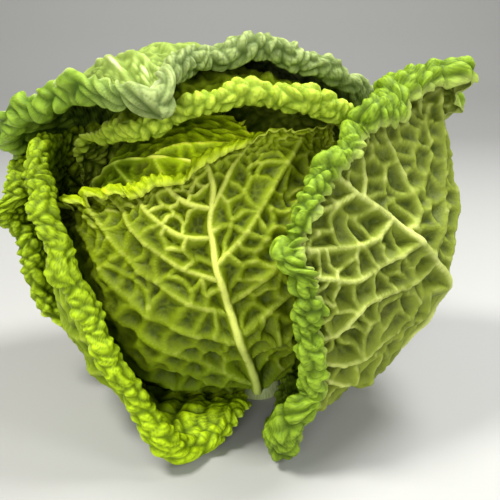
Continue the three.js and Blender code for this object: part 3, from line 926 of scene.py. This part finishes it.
class CABBAGE_OT_core(bpy.types.Operator):
    """Make the packed heart and the cut stalk"""
    bl_idname = "cabbage.core"
    bl_label = "Heart and stalk"

    def execute(self, context):
        settings = context.scene.cabbage
        self.heart(settings)
        self.stalk(settings)
        return {"FINISHED"}

    def heart(self, settings):
        """A ball of quads, stepped where its leaves' edges overlap."""
        low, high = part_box("heart")
        radius = (high.x - low.x) * MM / 2
        n = 60  # half the points along each side of the cube that the ball is blown up from
        wraps, slant = 5, 0.9  # overlapping edges round the ball, and how far they lean
        faces, points, index = [], [], {}

        def corner(key):
            if key not in index:
                index[key] = len(points)
                points.append(unit(np.tan(np.array(key) / n * math.pi / 4)))
            return index[key]

        def on_cube(axis, end, s, t):
            return (t, end, s) if axis == 1 else (end, s, t) if axis == 0 else (s, t, end)

        for axis in range(3):
            for end in (-n, n):
                for s in range(-n, n, 2):
                    for t in range(-n, n, 2):
                        ring = [(s, t), (s + 2, t), (s + 2, t + 2), (s, t + 2)]
                        if end < 0:
                            ring.reverse()
                        faces.append([corner(on_cube(axis, end, *c)) for c in ring])
        way = np.array(points)
        turn = np.arctan2(way[:, 0], -way[:, 1])
        height = np.arcsin(np.clip(way[:, 2], -1, 1))
        wrap = (turn + slant * height) / (2 * math.pi) * wraps
        step = wrap - np.floor(wrap)
        hollows = np.abs(ripple(way * 60, 16, 5))
        out = radius - 0.2 - 1.6 * step - 0.9 * hollows * ease(0, 0.2, step)
        plain = 0 * step
        paint = {
            # the hollows' pit value darkens the heart's colour there: its deeper green and painted shade
            "vein": 0.3 * np.exp(-((step - 0.5) / 0.05) ** 2), "pit": hollows.clip(0, 1), "crease": 0.2 + plain,
            "margin": 1 - ease(0, 0.2, step), "brink": plain, "inner_face": plain,
            "tint": 0.5 + 0.4 * ripple(way * 60, 25, 6),
        }
        piece = make_piece("packed_heart", from_middle(way * out[:, None]), faces, paint)
        piece.data.materials.append(leaf_paint("heart", settings.head, 0.4))
        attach(piece, "root")
        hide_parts("heart")

    def stalk(self, settings):
        """A ridged cone frustum with a rounded rim at its cut."""
        low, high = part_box("stalk")
        sides = 96
        foot = settings.sizes.stalk_foot * MM
        top = (high.z - low.z) * MM
        turn = np.linspace(0, 2 * math.pi, sides, endpoint=False)
        # shares of its height and of its foot's radius: up the cut face and its rim, the side, and the top
        rows = [(0.0, 0.04), (0.0, 0.35), (0.0, 0.7), (0.0, 0.94), (0.03, 0.985), (0.08, 1.0)]
        rows += [(t, 1.0 - 0.11 * t + 0.02 * math.sin(9 * t)) for t in np.linspace(0.12, 0.93, 26)]
        rows += [(0.98, 0.84), (1.0, 0.7), (1.0, 0.4), (1.0, 0.04)]
        points = []
        for z, r in rows:
            coarse, fine = 0.5 + 0.5 * np.cos(5 * turn + 3 * z), 0.5 + 0.5 * np.cos(23 * turn + 7 * z)
            ridge = 1 - 0.035 * coarse - 0.012 * fine
            across, deep = foot * r * ridge * np.sin(turn), -foot * r * ridge * np.cos(turn)
            points.append(np.stack([across, deep, np.full(sides, z * top)], 1))
        faces = []
        for row in range(0, (len(rows) - 1) * sides, sides):
            for s in range(sides):
                e = (s + 1) % sides
                faces.append((row + s, row + e, row + sides + e, row + sides + s))
        last = (len(rows) - 1) * sides
        faces += [tuple(range(sides - 1, -1, -1)), tuple(last + s for s in range(sides))]
        middle = np.array(((low + high) / 2)) * MM
        points = np.concatenate(points) + [middle[0], middle[1], low.z * MM]
        piece = make_piece("cut_stalk", (points / MM).tolist(), faces, {})
        p = Paint("stalk")
        grain = p.node("ShaderNodeMapping", {}, {"Vector": p.place(), "Scale": (900.0, 900.0, 120.0)})
        fibres = p.node("ShaderNodeTexNoise", {}, {"Vector": grain, "Scale": 1.0, "Detail": 3.0})
        skin = p.mix(fibres.ease(0.3, 0.7), shade(196, 208, 150), shade(166, 186, 106))
        cut = p.mix(p.noise(260.0).ease(0.35, 0.7), shade(226, 224, 190), shade(196, 186, 140))
        material = p.finish({
            "Base Color": p.mix((p.along("Z") * 1000.0).ease(0.1, 0.8), cut, skin),
            "Roughness": 0.45 + fibres * 0.2,
            "Subsurface Weight": 0.2,
            "Subsurface Radius": (1.0, 1.0, 0.5),
            "Subsurface Scale": 0.002,
            "Normal": p.bump(fibres, 0.0004),
        })
        piece.data.materials.append(material)
        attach(piece, "root")
        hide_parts("stalk")


class CABBAGE_OT_stage(bpy.types.Operator):
    """Set the floor, the light and the camera"""
    bl_idname = "cabbage.stage"
    bl_label = "Stage"

    # the floor and what stands behind it, as (y, z) in metres, and how far it goes either way
    sweep, half_width = [(-8, 0), (0.9, 0), (1.15, 0.04), (1.33, 0.15), (1.44, 0.33), (1.48, 0.6), (1.5, 2.4)], 8.0
    # name, place, size, power in W and colour of each lamp, and where they all point
    lamps = (
        ("key", (-0.55, -0.30, 1.05), 0.35, 14.0, (1.0, 0.98, 0.94)),
        ("top", (0.40, 0.15, 1.05), 0.5, 13.0, (1.0, 1.0, 1.0)),
        ("front", (-0.15, -1.05, 0.38), 0.45, 5.0, (1.0, 1.0, 0.98)),
        ("side", (0.85, -0.65, 0.75), 0.4, 4.5, (0.98, 1.0, 1.0)),
    )
    lit = (0, 0, 0.09)
    aim = (-0.0045, 0, 0.0877)  # what the camera looks at

    def execute(self, context):
        self.floor(context.scene.cabbage.backdrop)
        self.light(context)
        self.camera(context, context.scene.cabbage.sizes)
        return {"FINISHED"}

    def floor(self, backdrop):
        points = [(x, y, z) for y, z in self.sweep for x in (-self.half_width, self.half_width)]
        faces = [(2 * k, 2 * k + 1, 2 * k + 3, 2 * k + 2) for k in range(len(self.sweep) - 1)]
        floor = make_piece("floor", points, faces, {})
        p = Paint("floor")
        weave = p.noise(900.0, 2.0)
        floor.data.materials.append(p.finish({
            "Base Color": p.mix(weave * 0.2, tuple(backdrop), tuple(0.9 * c for c in backdrop)),
            "Roughness": 0.85,
        }))

    def light(self, context):
        world = bpy.data.worlds.new("studio")
        context.scene.world = world
        world.use_nodes = True
        sky = world.node_tree.nodes["Background"]
        sky.inputs["Color"].default_value = (0.95, 0.97, 1.0, 1)
        sky.inputs["Strength"].default_value = 0.25
        for name, place, size, power, tint in self.lamps:
            lamp = bpy.data.lights.new(name, "AREA")
            lamp.shape, lamp.size, lamp.energy, lamp.color = "DISK", size, power, tint
            holder = bpy.data.objects.new(name, lamp)
            holder.location = place
            holder.rotation_euler = (Vector(self.lit) - Vector(place)).to_track_quat("-Z", "Y").to_euler()
            context.scene.collection.objects.link(holder)

    def camera(self, context, sizes):
        data = bpy.data.cameras.new("camera")
        data.lens, data.sensor_width, data.dof.use_dof = sizes.lens, 36.0, False
        data.clip_start, data.clip_end = 0.01, 20.0
        camera = bpy.data.objects.new("camera", data)
        back = Vector((0, -math.cos(sizes.elevation), math.sin(sizes.elevation)))
        camera.location = Vector(self.aim) + back * sizes.distance
        camera.rotation_euler = (-back).to_track_quat("-Z", "Y").to_euler()
        context.scene.collection.objects.link(camera)
        context.scene.camera = camera
        context.scene.view_settings.view_transform = "Standard"


class CABBAGE_PT_panel(bpy.types.Panel):
    """Buttons that build the cabbage"""
    bl_label = "Savoy cabbage"
    bl_idname = "CABBAGE_PT_panel"
    bl_space_type = "VIEW_3D"
    bl_region_type = "UI"
    bl_category = "Cabbage"

    def draw(self, context):
        column = self.layout.column()
        for operator in OPERATORS:
            column.operator(operator.bl_idname)
        for group in ("sizes", "head", "hood", "left", "rear", "right"):
            column.label(text=group.title())
            settings = getattr(context.scene.cabbage, group)
            for key in type(settings).__annotations__:
                column.prop(settings, key)
        column.prop(context.scene.cabbage, "backdrop")


GROUPS = (
    CabbageHeadColours, CabbageHoodColours, CabbageLeftColours, CabbageRearColours, CabbageRightColours,
    CabbageSizes, CabbageSettings,
)
OPERATORS = (
    CABBAGE_OT_core, CABBAGE_OT_head_leaves, CABBAGE_OT_hood_leaves, CABBAGE_OT_side_leaves, CABBAGE_OT_stage,
)


def register():
    for kind in (*GROUPS, *OPERATORS, CABBAGE_PT_panel):
        bpy.utils.register_class(kind)
    bpy.types.Scene.cabbage = bpy.props.PointerProperty(type=CabbageSettings)


def unregister():
    del bpy.types.Scene.cabbage
    for kind in reversed((*GROUPS, *OPERATORS, CABBAGE_PT_panel)):
        bpy.utils.unregister_class(kind)


def main():
    bpy.context.view_layer.update()
    register()
    bpy.ops.cabbage.core()
    bpy.ops.cabbage.head_leaves()
    bpy.ops.cabbage.hood_leaves()
    bpy.ops.cabbage.side_leaves()
    bpy.ops.cabbage.stage()
    bpy.context.view_layer.update()


if __name__ == "__main__":
    main()
